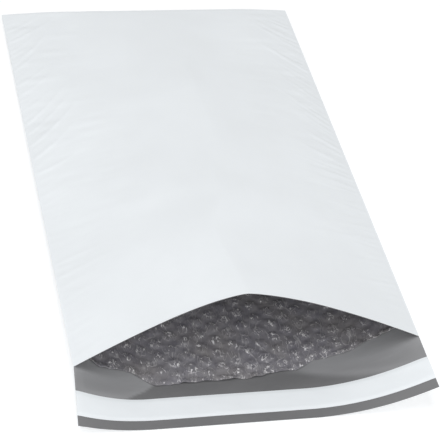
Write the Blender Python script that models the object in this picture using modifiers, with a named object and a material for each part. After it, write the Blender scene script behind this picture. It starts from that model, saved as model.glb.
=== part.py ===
"""Bubble mailer: a padded poly envelope that lies on its back panel with its mouth open.

Metres, +Z up. The mouth and its flap point to -Y and the closed end to +Y. The origin is under
the middle of the whole mailer, on the surface that it lies on.

Two sheet coordinates place everything, as on the flat web of film that the mailer is made from:
across runs from the left side seam (0) to the right one (MAILER_WIDTH), and inward runs from the
mouth (0) to the closed end (BODY_LENGTH) and is negative on the flap. Depth is the distance from
the outer face of the film into the mailer.
"""

import math

import bmesh
import bpy
from mathutils import Vector

# The cut sizes of the mailer, laid flat
MAILER_WIDTH = 0.216
BODY_LENGTH = 0.368
FLAP_LENGTH = 0.038
FILM_WALL = 0.00035
SEAL_WIDTH = 0.0015
CLEARANCE = 0.0003

# The open mouth: the front panel is a rounded gable, the back panel curls up to the seams
MOUTH_WIDTH = 0.2053
MOUTH_LEFT_LIFT = 0.0146
MOUTH_RIGHT_LIFT = 0.0214
MOUTH_LEFT_CURL = 0.0438
MOUTH_RIGHT_CURL = 0.0745
RIDGE_HEIGHT = 0.0615
RIDGE_ACROSS = 0.1014
GABLE_POWER = 1.445

# The free end of the flap keeps the curl of the back panel
FLAP_END_WIDTH = 0.2089
FLAP_END_LEFT_LIFT = 0.0066
FLAP_END_RIGHT_LIFT = 0.0183

# The closed end is a padded fold between the two seams
END_THICKNESS = 0.0080
END_SEAM_LIFT = 0.0036
END_CURL = 0.0225
END_CROWN_WIDTH = 0.0185
CROWN_POWER = 2.5

# The bubble lining
BUBBLE_PITCH = 0.011
BUBBLE_TOP_SHARE = 0.60
BUBBLE_SHOULDER_SHARE = 0.78
LINING_SHEET = 0.0006
LINING_THICKNESS = 0.0042
LINING_SETBACK = 0.0015
LINING_LIP = 0.0040
LINING_EDGE_ROOM = 2.4 * CLEARANCE
LINING_FOLD_DEPTH = 0.012
CRUSHED_WIDTH = 0.0070
BUBBLED_DEPTH = 0.100
BUBBLE_ZONE_STEP = 0.001
POCKET_SLIT = 0.0004

# The flap's closing strip
LINER_START = 0.0156
LINER_WIDTH = 0.0160
LINER_THICKNESS = 0.0003
ADHESIVE_MARGIN = 0.0022
ADHESIVE_THICKNESS = 0.0003

# Mesh density
LENGTH_STEPS = 9
FLAT_LINING_STEPS = 7
FOLD_ANGLES = (45.0, 0.0, -45.0)
WELD_DISTANCE = 0.000002
SLOPE_STEP = 0.0005
SHARP_ANGLE = 30.0

# Colour, roughness and metallic of each piece
FILM_WHITE = ((0.82, 0.85, 0.87), 0.38, 0.0)
BUBBLE_GREY = ((0.10, 0.10, 0.11), 0.25, 0.0)
ADHESIVE_AMBER = ((0.62, 0.50, 0.30), 0.30, 0.0)
LINER_WHITE = ((0.80, 0.83, 0.86), 0.45, 0.0)

# Values that follow from the sizes above
CLOSED_END_Y = (BODY_LENGTH + FLAP_LENGTH) / 2
LINING_START = FILM_WALL + CLEARANCE
LINED_WIDTH = MAILER_WIDTH - 2 * (SEAL_WIDTH + CRUSHED_WIDTH)
BUBBLE_COLUMNS = round(LINED_WIDTH / (BUBBLE_PITCH * math.sqrt(3) / 2))
COLUMN_SPACING = LINED_WIDTH / BUBBLE_COLUMNS
BUBBLE_ROWS = round(BUBBLED_DEPTH / BUBBLE_PITCH)
HALF_PITCH = BUBBLE_PITCH / 2
ZIGZAG = COLUMN_SPACING / 6


def limited(value):
    """A share kept between 0 and 1."""
    return min(max(value, 0.0), 1.0)


def from_seal(across):
    """The distance from the nearer side seal, which is 0 on the seal itself."""
    return max(min(across, MAILER_WIDTH - across) - SEAL_WIDTH, 0.0)


def curled(across, left_lift, right_lift, left_curl, right_curl):
    """Height of a sheet that lies flat in its middle and curls up to both of its sides."""
    lift, curl = (left_lift, left_curl) if across < MAILER_WIDTH / 2 else (right_lift, right_curl)
    return lift * (1.0 - limited(from_seal(across) / curl)) ** 2


def mouth_back(across):
    """Height of the back panel's outer face at the mouth."""
    return curled(across, MOUTH_LEFT_LIFT, MOUTH_RIGHT_LIFT, MOUTH_LEFT_CURL, MOUTH_RIGHT_CURL)


def mouth_front(across):
    """Height of the front panel's outer face at the mouth: a gable with a rounded ridge."""
    if across < RIDGE_ACROSS:
        seam = MOUTH_LEFT_LIFT + 2 * FILM_WALL
        side = RIDGE_ACROSS - SEAL_WIDTH
    else:
        seam = MOUTH_RIGHT_LIFT + 2 * FILM_WALL
        side = MAILER_WIDTH - RIDGE_ACROSS - SEAL_WIDTH
    below_ridge = limited(abs(across - RIDGE_ACROSS) / side)
    return RIDGE_HEIGHT - (RIDGE_HEIGHT - seam) * below_ridge ** GABLE_POWER


def end_back(across):
    """Height of the back panel's outer face at the closed end."""
    return curled(across, END_SEAM_LIFT, END_SEAM_LIFT, END_CURL, END_CURL)


def end_front(across):
    """Height of the front panel's outer face at the closed end: a low crown over the padding."""
    seam = END_SEAM_LIFT + 2 * FILM_WALL
    below_crown = 1.0 - limited(from_seal(across) / END_CROWN_WIDTH)
    return END_THICKNESS - (END_THICKNESS - seam) * below_crown ** CROWN_POWER


def flap_end(across):
    """Height of the flap's outer face at its free end."""
    return curled(across, FLAP_END_LEFT_LIFT, FLAP_END_RIGHT_LIFT, MOUTH_LEFT_CURL, MOUTH_RIGHT_CURL)


def fold_radius(across):
    """Radius of the closed end's fold, outside the film."""
    return (end_front(across) - end_back(across)) / 2


def ruling(front, across):
    """Both ends of one straight line of film, at the mouth and at the closed end."""
    centred = across - MAILER_WIDTH / 2
    mouth_x = centred * MOUTH_WIDTH / MAILER_WIDTH
    mouth_z = mouth_front(across) if front else mouth_back(across)
    end_z = end_front(across) if front else end_back(across)
    radius = fold_radius(across)
    end_y = CLOSED_END_Y - radius
    run = math.sqrt((BODY_LENGTH - radius) ** 2 - (centred - mouth_x) ** 2 - (end_z - mouth_z) ** 2)
    return Vector((mouth_x, end_y - run, mouth_z)), Vector((centred, end_y, end_z))


def outer_point(front, across, inward):
    """A point on the outer face of the front panel, or of the back panel and its flap."""
    mouth, end = ruling(front, across)
    if inward >= 0:
        return mouth.lerp(end, inward / BODY_LENGTH)
    free_x = (across - MAILER_WIDTH / 2) * FLAP_END_WIDTH / MAILER_WIDTH
    free_z = flap_end(across)
    run = math.sqrt(FLAP_LENGTH ** 2 - (free_x - mouth.x) ** 2 - (free_z - mouth.z) ** 2)
    return mouth.lerp(Vector((free_x, mouth.y - run, free_z)), -inward / FLAP_LENGTH)


def tilt(front, across, inward):
    """How much longer an upright step through the wall is than a step square to the sheet."""
    if from_seal(across) < WELD_DISTANCE:
        return 1.0
    low = outer_point(front, across - SLOPE_STEP, inward)
    high = outer_point(front, across + SLOPE_STEP, inward)
    return math.hypot(1.0, (high.z - low.z) / (high.x - low.x))


def wall_point(front, across, inward, depth):
    """A point at a depth into the mailer from the outer face of a panel."""
    point = outer_point(front, across, inward)
    step = depth * tilt(front, across, inward)
    point.z += -step if front else step
    return point


def fold_point(across, angle, depth):
    """A point in the closed end's fold: 90 degrees is the front panel and -90 the back panel."""
    radius = fold_radius(across)
    reach = max(radius - depth, 0.0)
    middle = (end_front(across) + end_back(across)) / 2
    y = CLOSED_END_Y - radius + reach * math.cos(math.radians(angle))
    return Vector((across - MAILER_WIDTH / 2, y, middle + reach * math.sin(math.radians(angle))))


def middle_point(across, inward):
    """The point halfway between the two panels."""
    return outer_point(True, across, inward).lerp(outer_point(False, across, inward), 0.5)


def steps(start, stop, count):
    """Evenly spaced values from start to stop, both included."""
    return [start + (stop - start) * index / count for index in range(count + 1)]


def bubble_line(index):
    """Where the line between two columns of bubbles runs, across the film."""
    return SEAL_WIDTH + CRUSHED_WIDTH + index * COLUMN_SPACING


LINES = [bubble_line(index) for index in range(BUBBLE_COLUMNS + 1)]
SEALED_ACROSS = [SEAL_WIDTH] + LINES + [MAILER_WIDTH - SEAL_WIDTH]
WHOLE_ACROSS = [0.0] + SEALED_ACROSS + [MAILER_WIDTH]
BODY_STEPS = steps(0.0, BODY_LENGTH, LENGTH_STEPS)
LINER_STEPS = [
    -LINER_START,
    -LINER_START - ADHESIVE_MARGIN,
    -LINER_START - LINER_WIDTH + ADHESIVE_MARGIN,
    -LINER_START - LINER_WIDTH,
]
FLAP_STEPS = [0.0] + LINER_STEPS + [-FLAP_LENGTH]


def faces_between(rows):
    """Four-cornered faces between rows of points that lie side by side."""
    faces = []
    for near, far in zip(rows, rows[1:]):
        for index in range(len(near) - 1):
            faces.append([near[index], near[index + 1], far[index + 1], far[index]])
    return faces


def add_mesh(name, faces, collection, look, closed=True):
    """One named object from faces that are welded where they meet."""
    work = bmesh.new()
    for corners in faces:
        work.faces.new([work.verts.new(corner) for corner in corners])
    bmesh.ops.remove_doubles(work, verts=work.verts, dist=WELD_DISTANCE)
    if closed:
        bmesh.ops.recalc_face_normals(work, faces=work.faces)
    mesh = bpy.data.meshes.new(name)
    work.to_mesh(mesh)
    work.free()
    mesh.materials.append(finish(name, look))
    mesh.shade_smooth()
    mesh.set_sharp_from_angle(angle=math.radians(SHARP_ANGLE))
    piece = bpy.data.objects.new(name, mesh)
    collection.objects.link(piece)
    return piece


def finish(name, look):
    """The plain finish of one piece."""
    colour, roughness, metallic = look
    material = bpy.data.materials.new(name)
    material.use_nodes = True
    shader = material.node_tree.nodes["Principled BSDF"]
    shader.inputs["Base Color"].default_value = (*colour, 1.0)
    shader.inputs["Roughness"].default_value = roughness
    shader.inputs["Metallic"].default_value = metallic
    return material


def pouch_rows(across_values, depth):
    """Rows over the front panel, round the closed end and back along the back panel."""
    def panel(front):
        rows = []
        for inward in BODY_STEPS:
            rows.append([wall_point(front, across, inward, depth) for across in across_values])
        return rows

    fold = [[fold_point(across, angle, depth) for across in across_values] for angle in FOLD_ANGLES]
    return panel(True) + fold + panel(False)[::-1]


def flap_rows(depth):
    """Rows over the flap, from the mouth to its free end."""
    return [[wall_point(False, across, inward, depth) for across in WHOLE_ACROSS] for inward in FLAP_STEPS]


def seam_edge_rows(across):
    """The cut edge of a side seal: front film, weld line and back film."""
    rows = []
    for inward in BODY_STEPS:
        weld = wall_point(False, across, inward, FILM_WALL)
        rows.append([outer_point(True, across, inward), weld, outer_point(False, across, inward)])
    weld = rows[-1][1]
    for angle in FOLD_ANGLES:
        if angle >= 0:
            rows.append([fold_point(across, angle, 0.0), weld, fold_point(across, -angle, 0.0)])
    return rows


def outer_film(collection):
    """The folded and side-sealed web of film with its flap, as one closed solid."""
    outside = pouch_rows(WHOLE_ACROSS, 0.0)
    inside = pouch_rows(SEALED_ACROSS, FILM_WALL)
    flap_outside = flap_rows(0.0)
    flap_inside = flap_rows(FILM_WALL)
    mouth_rim = [outside[0], [wall_point(True, across, 0.0, FILM_WALL) for across in WHOLE_ACROSS]]
    faces = faces_between(outside) + faces_between(inside)
    faces += faces_between(flap_outside) + faces_between(flap_inside)
    faces += faces_between(mouth_rim)
    faces += faces_between([flap_outside[-1], flap_inside[-1]])
    for side in (0, -1):
        faces += faces_between([[row[side] for row in flap_outside], [row[side] for row in flap_inside]])
        faces += faces_between(seam_edge_rows(WHOLE_ACROSS[side]))
    return add_mesh("outer_film", faces, collection, FILM_WHITE)


def lining_corner(side, inward):
    """The lining's outer edge, where it runs out in the wedge beside a side seal."""
    seal, line = (SEAL_WIDTH, LINES[0]) if side == 0 else (MAILER_WIDTH - SEAL_WIDTH, LINES[-1])
    room = wall_point(True, line, inward, FILM_WALL).z - wall_point(False, line, inward, FILM_WALL).z
    share = limited(LINING_EDGE_ROOM / room)
    return middle_point(seal, inward).lerp(middle_point(line, inward), share)


def lining_start(front, index):
    """Where the lining is cut: just inside the front panel's edge, and past the mouth at the back."""
    if front:
        return LINING_SETBACK
    bow = math.sin(math.pi * index / BUBBLE_COLUMNS)
    return LINING_SETBACK - (LINING_SETBACK + LINING_LIP) * math.sqrt(max(bow, 0.0))


def lining_point(front, across, inward, thickness):
    """A point on the lining's inner face: it is crushed where the two panels come together."""
    pocket = max(inward, 0.0)
    room = (outer_point(True, across, pocket).z - outer_point(False, across, pocket).z) / 2
    room = (room - POCKET_SLIT / 2) / tilt(front, across, inward)
    return wall_point(front, across, inward, min(LINING_START + thickness, room))


def lining_outside_rows():
    """Rows over the lining's outer face, from its front edge round the fold to its back edge."""
    def row(front, inward, ragged):
        starts = [lining_start(front, index) if ragged else inward for index in range(len(LINES))]
        inner = [wall_point(front, line, start, LINING_START) for line, start in zip(LINES, starts)]
        return [lining_corner(0, inward)] + inner + [lining_corner(-1, inward)]

    def panel(front):
        return [row(front, LINING_SETBACK, True)] + [row(front, inward, False) for inward in BODY_STEPS[1:]]

    folded = []
    for angle in FOLD_ANGLES:
        inner = [fold_point(line, angle, LINING_START) for line in LINES]
        folded.append([lining_corner(0, BODY_LENGTH)] + inner + [lining_corner(-1, BODY_LENGTH)])
    return panel(True) + folded + panel(False)[::-1]


def lattice_place(front, index, half_row):
    """Sheet coordinates of a corner between bubbles: zigzag lines make regular hexagons."""
    across = LINES[index]
    if 0 < index < BUBBLE_COLUMNS:
        across += ZIGZAG if (half_row - index) % 2 == 0 else -ZIGZAG
    return across, lining_start(front, index) + half_row * HALF_PITCH


def lattice_point(front, index, half_row):
    """The corner itself, on the flat sheet between the bubbles or in the weld beside a seal."""
    across, inward = lattice_place(front, index, half_row)
    if index in (0, BUBBLE_COLUMNS):
        return middle_point(across, inward)
    return lining_point(front, across, inward, LINING_SHEET)


def bubble_faces(front, ring):
    """One bubble over its six corners: sloped sides, a shoulder and a rounded top."""
    places = [lattice_place(front, index, half_row) for index, half_row in ring]
    centre_across = sum(across for across, inward in places) / len(places)
    centre_inward = sum(inward for across, inward in places) / len(places)
    foot = [lattice_point(front, index, half_row) for index, half_row in ring]
    shoulder = []
    for across, inward in places:
        across = centre_across + (across - centre_across) * BUBBLE_TOP_SHARE
        inward = centre_inward + (inward - centre_inward) * BUBBLE_TOP_SHARE
        shoulder.append(lining_point(front, across, inward, LINING_THICKNESS * BUBBLE_SHOULDER_SHARE))
    top = lining_point(front, centre_across, centre_inward, LINING_THICKNESS)
    faces = []
    for corner in range(len(ring)):
        following = (corner + 1) % len(ring)
        faces.append([foot[corner], foot[following], shoulder[following], shoulder[corner]])
        faces.append([shoulder[corner], shoulder[following], top])
    return faces


def bubbled_faces(front):
    """The part of the lining's inner face near the mouth, with its columns of bubbles."""
    faces = []
    last = 2 * BUBBLE_ROWS
    for column in range(BUBBLE_COLUMNS):
        crushed = column in (0, BUBBLE_COLUMNS - 1)
        first_centre = 1 + column % 2
        for centre in range(first_centre, last, 2):
            near = [(column, centre - 1), (column, centre), (column, centre + 1)]
            far = [(column + 1, centre + 1), (column + 1, centre), (column + 1, centre - 1)]
            if not crushed:
                faces += bubble_faces(front, near + far)
        loose = range(last) if crushed else ([] if first_centre == 1 else [0, last - 1])
        for half_row in loose:
            faces.append([
                lattice_point(front, column, half_row),
                lattice_point(front, column + 1, half_row),
                lattice_point(front, column + 1, half_row + 1),
                lattice_point(front, column, half_row + 1),
            ])
    return faces


def flat_lining_rows(front):
    """Rows over the deep part of the lining's inner face, level with the bubbles' tops."""
    last = 2 * BUBBLE_ROWS
    rows = [[lattice_point(front, index, last) for index in range(len(LINES))]]
    stop = BODY_LENGTH - LINING_FOLD_DEPTH
    for step in range(FLAT_LINING_STEPS):
        row = []
        for index, line in enumerate(LINES):
            start = lining_start(front, index) + last * HALF_PITCH + BUBBLE_ZONE_STEP
            inward = start + (stop - start) * step / FLAT_LINING_STEPS
            if index in (0, BUBBLE_COLUMNS):
                row.append(middle_point(line, inward))
            else:
                row.append(lining_point(front, line, inward, LINING_THICKNESS))
        rows.append(row)
    rows.append([middle_point(line, stop) for line in LINES])
    return rows


def bubble_lining(collection):
    """The folded web of bubble film inside the pocket, as one closed solid."""
    outside = lining_outside_rows()
    faces = faces_between(outside)
    for front, edge in ((True, outside[0]), (False, outside[-1])):
        cut = [lattice_point(front, index, 0) for index in range(len(LINES))]
        faces += faces_between([edge, [edge[0]] + cut + [edge[-1]]])
        faces += bubbled_faces(front) + faces_between(flat_lining_rows(front))
    return add_mesh("bubble_lining", faces, collection, BUBBLE_GREY)


def flap_strip(name, inward_steps, depth, thickness, collection, look):
    """A thin strip across the whole flap: an open sheet, facing down, that is thickened upwards."""
    rows = []
    for inward in inward_steps:
        rows.append([wall_point(False, across, inward, depth) for across in WHOLE_ACROSS])
    strip = add_mesh(name, faces_between(rows), collection, look, closed=False)
    shell = strip.modifiers.new("thickness", "SOLIDIFY")
    shell.thickness = thickness
    shell.offset = -1.0
    shell.use_even_offset = True
    return strip


def adhesive_strip(collection):
    """The band of hot-melt adhesive under the liner, inset from both of its long edges."""
    depth = FILM_WALL + CLEARANCE
    inset = LINER_STEPS[1:-1]
    return flap_strip("adhesive_strip", inset, depth, ADHESIVE_THICKNESS, collection, ADHESIVE_AMBER)


def release_liner(collection):
    """The strip that covers the adhesive until the flap is closed."""
    depth = FILM_WALL + CLEARANCE + ADHESIVE_THICKNESS + CLEARANCE
    return flap_strip("release_liner", LINER_STEPS, depth, LINER_THICKNESS, collection, LINER_WHITE)


def main():
    for old in list(bpy.data.objects):
        bpy.data.objects.remove(old, do_unlink=True)
    mailer = bpy.data.collections.new("bubble_mailer")
    bpy.context.scene.collection.children.link(mailer)
    outer_film(mailer)
    bubble_lining(mailer)
    adhesive_strip(mailer)
    release_liner(mailer)


main()
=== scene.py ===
"""Bubble mailer: the finished surfaces of a padded poly envelope that lies with its mouth open.

The file is laid out as a Blender add-on and is run as a script, around the mailer's solid model.
Metres, +Z up. The mouth and its flap point to -Y and the closed end to +Y.

Two sheet coordinates place everything, as on the flat web of film that the mailer is made from:
across runs from the left side seam (0) to the right one, and inward runs from the mouth (0) to the
closed end and is negative on the flap. Depth is the distance from the outer face of the film into
the mailer. The functions take and return numpy arrays of them.
"""

import math

import bmesh
import bpy
import numpy as np
from bpy.props import FloatProperty, FloatVectorProperty, IntProperty, PointerProperty
from bpy.types import Operator, Panel, PropertyGroup
from mathutils import Matrix, Vector


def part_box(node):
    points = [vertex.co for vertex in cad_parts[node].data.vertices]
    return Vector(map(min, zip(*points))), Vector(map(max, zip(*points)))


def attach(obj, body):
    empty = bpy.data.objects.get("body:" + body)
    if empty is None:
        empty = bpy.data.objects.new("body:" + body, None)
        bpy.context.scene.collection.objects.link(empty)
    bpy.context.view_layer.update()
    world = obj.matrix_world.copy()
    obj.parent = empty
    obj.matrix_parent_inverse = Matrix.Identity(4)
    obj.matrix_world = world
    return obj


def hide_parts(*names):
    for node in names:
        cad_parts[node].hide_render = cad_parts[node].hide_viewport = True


bl_info = {
    "name": "Bubble Mailer",
    "version": (1, 0, 0),
    "blender": (4, 5, 0),
    "location": "3D Viewport > Sidebar > Mailer",
    "description": "Builds the film, bubble lining and closing strip of a padded mailer",
    "category": "Add Mesh",
}

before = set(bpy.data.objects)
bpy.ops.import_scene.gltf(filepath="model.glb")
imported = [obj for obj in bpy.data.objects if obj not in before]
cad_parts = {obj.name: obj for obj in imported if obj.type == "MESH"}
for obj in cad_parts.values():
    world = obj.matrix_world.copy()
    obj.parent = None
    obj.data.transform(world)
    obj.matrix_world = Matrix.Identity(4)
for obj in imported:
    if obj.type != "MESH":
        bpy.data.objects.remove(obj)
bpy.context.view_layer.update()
FILM_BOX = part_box("outer_film")

# Where the ridge of the front panel runs, as (inward, across) places
RIDGE_PATH = (
    (0.000, 0.1014),
    (0.066, 0.0965),
    (0.116, 0.1090),
    (0.185, 0.1205),
    (0.368, 0.1205),
)

# Where the fold across the flap's left corner runs, as (inward, across) places
CORNER_FOLD = (
    (-0.0180, 0.0280),
    (-0.0145, 0.0340),
    (-0.0120, 0.0385),
    (-0.0090, 0.0450),
    (-0.0050, 0.0505),
    (0.0200, 0.0600),
)

# Where the back panel's lining was cut off, as (across, inward) places
LINING_CUT = (
    (0.008, 0.0125),
    (0.018, 0.0055),
    (0.031, 0.0058),
    (0.051, -0.0062),
    (0.075, -0.0050),
    (0.104, -0.0050),
    (0.138, -0.0008),
    (0.154, 0.0054),
    (0.172, 0.0066),
    (0.192, 0.0114),
    (0.208, 0.0125),
)

# Grains of noise on the sheet, as (cell across, cell inward, number added to the seed)
WAVE_GRAIN = (0.034, 0.048, 11)
SMALL_WAVE_GRAIN = (0.013, 0.017, 12)
RIPPLE_GRAIN = (0.016, 0.0055, 13)
BACK_WAVE_GRAIN = (0.030, 0.014, 21)
CUT_GRAIN = (0.0042, 1.0, 31)
SLOW_CUT_GRAIN = (0.013, 1.0, 32)
FINE_CRINKLE_GRAIN = (0.0026, 0.0023, 43)
RUFFLE_GRAIN = (0.0034, 1.0, 51)
LINER_GRAIN = (0.017, 0.009, 61)

# The lining's crinkles, from long folds to small puckers, as (strength, grain, sharpness)
CRINKLES = (
    (1.6, (0.0110, 0.0420, 40), 6.0),
    (1.0, (0.0062, 0.0150, 41), 3.6),
    (0.9, (0.0050, 0.0048, 42), 2.8),
)
FINE_CRINKLE = 0.9
CRINKLE_MIDDLE = 0.6

# Stretches, from the mouth inward, over which a form of the front panel grows or fades. One that
# starts before the mouth has partly grown there.
CREST_GROWS = (-0.060, 0.100)
CREST_FADES = (0.245, 0.345)
WAVES_GROW = (-0.030, 0.060)
RIPPLES_GROW = (-0.020, 0.240)
CREASES_FAN = (0.110, 0.240)
CREASES_CLOSE = (0.310, 0.360)

# The same for the back panel and the flap
BACK_WAVES_FADE = (0.010, 0.060)
FOLD_GROWS = (-0.0165, -0.0125)
FOLD_FADES = (0.005, 0.030)
SHOULDER_FADES = (0.010, 0.040)

# Stretches, from the left seam across, over which the right half's shoulder and the painted light that
# makes its grey film paler set in
SHOULDER_ACROSS = (0.118, 0.148)
PAINTED_LIGHT_ACROSS = (0.124, 0.154)

# Widths of the calm film beside a seam, for each kind of relief, and before the closed end
WAVE_CALM = 0.020
RIPPLE_CALM = 0.012
CREASE_CALM = 0.0016
BACK_CALM = 0.006
END_CALM = 0.006

# The front panel: rounding of its ridge, share of the small waves, reach and lean of the ripples
RIDGE_ROUNDING = 0.0012
SMALL_WAVES = 0.35
RIPPLE_REACH = 0.085
RIPPLE_SKEW = 0.5

# The creases that leave a seam fan out inward from the mouth and close a little at the far end
FANNED_SLOPE = 0.72
FANNED_BEND = 15.0
CLOSED_SHARE = 0.2
UNFANNED_HEIGHT = 0.55

# A weak crease is short and low, and most creases are weak
WEAKEST = 0.30
STRENGTH_POWER = 1.6
SHORT_REACH = 0.010
LONG_REACH = 0.045

# A crease's profile: its sharpness, and how far out it is still worked out, in its own widths
CREASE_SHARPNESS = 2.2
CREASE_TAIL = 20.0

# How much the creases differ, as (least, most)
LEAN_SPREAD = (-0.20, 0.20)
BEND_SPREAD = (0.6, 1.2)
REACH_SPREAD = (0.5, 1.2)
WIDTH_SPREAD = (0.65, 1.25)
SPACE_SPREAD = (0.55, 1.35)

# The back panel: share of its waves, and the corner fold, whose line crosses the flap at a slant
BACK_WAVES = 0.35
FOLD_SQUARE = 0.51
FOLD_ROUNDING = 0.009

# The line on the flap's right half that leads from the lining's edge out to the corner; beyond it the
# shoulder stands up and painted light makes the grey film paler
LINE_BEND = 0.139
LINE_SLOPE = 0.26
SHOULDER_LINE = 0.0050
SHOULDER_RUN = 0.0080
PAINTED_LIGHT_LINE = 0.0055
PAINTED_LIGHT_RUN = 0.0060

# How much painted light makes the grey film paler, as (share, stretch inward over which the share is
# added)
PAINTED_LIGHT_SHARES = (
    (0.48, (-0.0200, -0.0160)),
    (0.34, (-0.0100, 0.0020)),
    (0.18, (0.0020, 0.0120)),
)
# Where the painted light fades inward, its share at the right, how soft its edge is at the left corner's
# fold, and the painted light along the flap's free end and where it fades
PAINTED_LIGHT_FADES = (0.018, 0.030)
PAINTED_LIGHT_RIGHT = 0.90
PAINTED_LIGHT_EDGE = 0.0025
FREE_END_PAINTED_LIGHT = 0.07
FREE_END_PAINTED_LIGHT_FADES = (-0.0320, -0.0310)

# The lining's cut edge: its wobble, how it turns to the seams, and its flattened and ruffled strips
CUT_WOBBLE = 0.0007
SLOW_CUT_WOBBLE = 0.0005
CUT_TURN = 0.008
FLAT_EDGE = (-0.0015, 0.0050)
RUFFLE_REACH = 0.0045
RUFFLE_MIDDLE = 0.35
RUFFLE_SPREAD = 0.9

# The row of a noise that is read along an edge
EDGE_ROW = 0.5

# The bubbles: fullness of the slackest, and the shift, size and rarity of their deeper dents
SLACKEST = 0.72
DENT_SHIFT = 0.55
DENT_SIZE = 0.42
DENT_POWER = 1.5

# How crumpled the lining is between its bubbles, and how soon it is fully crumpled on them; the crumple
# also places the painted glints
FLAT_CRUMPLE = 0.35
CRUMPLE_GAIN = 1.3

# The lining's place in the pocket: room at the seams and the closed end, and shares of the gap
LINING_MARGIN = 0.0016
LINING_STOP = 0.012
OUTER_SHARE = 0.25
INNER_SHARE = 0.96

# Meshes: spaces between columns and between rows, and the places where those spaces change
FINE_LEFT = 0.058
FINE_RIGHT = 0.036
FILM_COLUMNS = (0.0004, 0.0011, 0.0020, 0.0011, 0.0004)
FILM_ROWS = 0.0013
NEAR_MOUTH = 0.030
BACK_ROWS = (0.0015, 0.006)
INNER_ROWS = (0.0015, 0.012)
FILM_TURNS = 9
LINING_COLUMNS = 0.0010
LINING_PLACES = (0.066, 0.150)
LINING_ROWS = (0.0007, 0.0020, 0.0040)
OUTER_PLACE = 0.012
OUTER_ROWS = (0.0012, 0.020)
LINING_TURNS = 7
STRIP_COLUMNS = 0.0022
STRIP_ROWS = 0.0008

# The closing strip: air under it, and the waves of its liner
STRIP_GAP = 0.00003
LINER_WAVE = 0.00006

# The lamps, as (name, azimuth and elevation in degrees, size, setting that holds its light)
LAMPS = (
    ("high_lamp", 260.0, 76.0, 1.4, "high_lamp"),
    ("front_lamp", 190.0, 36.0, 1.0, "front_lamp"),
    ("right_lamp", 140.0, 45.0, 0.9, "right_lamp"),
    ("high_spark", 184.0, 70.0, 0.12, "spark_lamp"),
    ("low_spark", 206.0, 30.0, 0.12, "spark_lamp"),
    ("right_spark", 160.0, 52.0, 0.12, "spark_lamp"),
    ("left_spark", 226.0, 40.0, 0.12, "spark_lamp"),
)

# The floor: its size, how far it lies below the mailer, and its share of plain colour when seen
FLOOR_SIZE = 12.0
FLOOR_DROP = 0.0002
FLOOR_DIMMED = 0.72

# Points nearer to each other than this are welded
WELD_DISTANCE = 0.000002

# The step across, to each side, over which a slope is taken
SLOPE_STEP = 0.0005

# Edges sharper than this, in degrees, stay sharp
SHARP_ANGLE = 40.0

# Cells of a noise before it repeats
NOISE_CELLS = 512


def length(name, default, description):
    """A size in metres."""
    return FloatProperty(
        name=name,
        description=description,
        default=default,
        subtype="DISTANCE",
        unit="LENGTH",
        precision=5,
    )


def share(name, default, description):
    """A plain factor."""
    return FloatProperty(name=name, description=description, default=default, min=0.0, precision=3)


def angle(name, degrees, description):
    """An angle, given in degrees."""
    return FloatProperty(
        name=name,
        description=description,
        default=math.radians(degrees),
        subtype="ANGLE",
        unit="ROTATION",
    )


def colour(name, default, description):
    """A linear colour."""
    return FloatVectorProperty(
        name=name,
        description=description,
        default=default,
        subtype="COLOR",
        size=3,
        min=0.0,
        max=1.0,
    )


class MailerForm(PropertyGroup):
    """The sizes of the mailer and the way that its mouth stands open."""

    width: length("Width", FILM_BOX[1].x - FILM_BOX[0].x, "From one side edge to the other, laid flat")
    body_length: length("Body length", 0.368, "From the mouth to the closed end")
    flap_length: length("Flap length", 0.038, "From the mouth to the flap's free end")
    film_wall: length("Film", 0.00035, "Thickness of the outer film")
    seal_width: length("Side seal", 0.0004, "Width of the weld along each side")
    clearance: length("Clearance", 0.0003, "Room between the film and the lining")
    mouth_width: length("Mouth width", 0.2053, "Between the two mouth corners, as the mouth stands open")
    left_lift: length("Left lift", 0.0146, "Height of the left mouth corner")
    right_lift: length("Right lift", 0.0214, "Height of the right mouth corner")
    left_curl: length("Left curl", 0.0449, "Width of the back panel's curl at the left")
    right_curl: length("Right curl", 0.0756, "Width of the back panel's curl at the right")
    ridge_height: length("Ridge height", 0.0615, "Top of the open mouth")
    gable_power: share("Gable power", 1.445, "Roundness of the arch: 1 is a tent, 2 is a bow")
    flap_end_width: length("Flap end width", 0.2089, "Between the corners of the flap's free end")
    flap_left_lift: length("Flap left lift", 0.0066, "Height of the flap's left corner")
    flap_right_lift: length("Flap right lift", 0.0183, "Height of the flap's right corner")
    end_thickness: length("End thickness", 0.0080, "Thickness of the closed end")
    end_seam_lift: length("End seam lift", 0.0036, "Height of the side seals at the closed end")
    end_curl: length("End curl", 0.0236, "Width of the back panel's curl at the closed end")
    crown_width: length("Crown width", 0.0450, "Width over which the closed end fills out")
    crown_power: share("Crown power", 2.2, "Fullness of the closed end beside its seals")


class FilmLook(PropertyGroup):
    """The outer film's colours and the creases in it."""

    outside: colour("Outside", (0.800, 0.833, 0.857), "Colour of the white outer side")
    inside: colour("Inside", (0.150, 0.151, 0.155), "Colour of the grey inner side")
    # Painted light: a paler grey painted where the flap's sides, corners and free end catch more light
    painted_light: colour("Painted light", (0.316, 0.320, 0.330), "Colour of the grey side, drawn tight")
    outside_roughness: share("Outside roughness", 0.38, "Roughness of the white side")
    inside_roughness: share("Inside roughness", 0.42, "Roughness of the grey side")
    crease_space: length("Crease spacing", 0.0062, "Between the creases that leave a side seam")
    crease_height: length("Crease height", 0.00065, "Height of the strongest crease")
    crease_width: length("Crease width", 0.0015, "Width of a crease")
    crest_height: length("Crest height", 0.0009, "How far the front panel's ridge stands proud")
    crest_width: length("Crest width", 0.013, "How far the ridge spreads to each side")
    wave_height: length("Wave height", 0.0005, "Height of the slow waves in the front panel")
    ripple_height: length("Ripple height", 0.00030, "Height of the fine ripples beside the side seams")
    fold_slope: share("Corner fold", 0.24, "How sharply the flap's left corner is folded up")
    shoulder: length("Shoulder", 0.0004, "How far the flap's right half stands up beside the lining")
    seed: IntProperty(name="Seed", description="Picks another set of creases", default=7, min=0)


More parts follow.
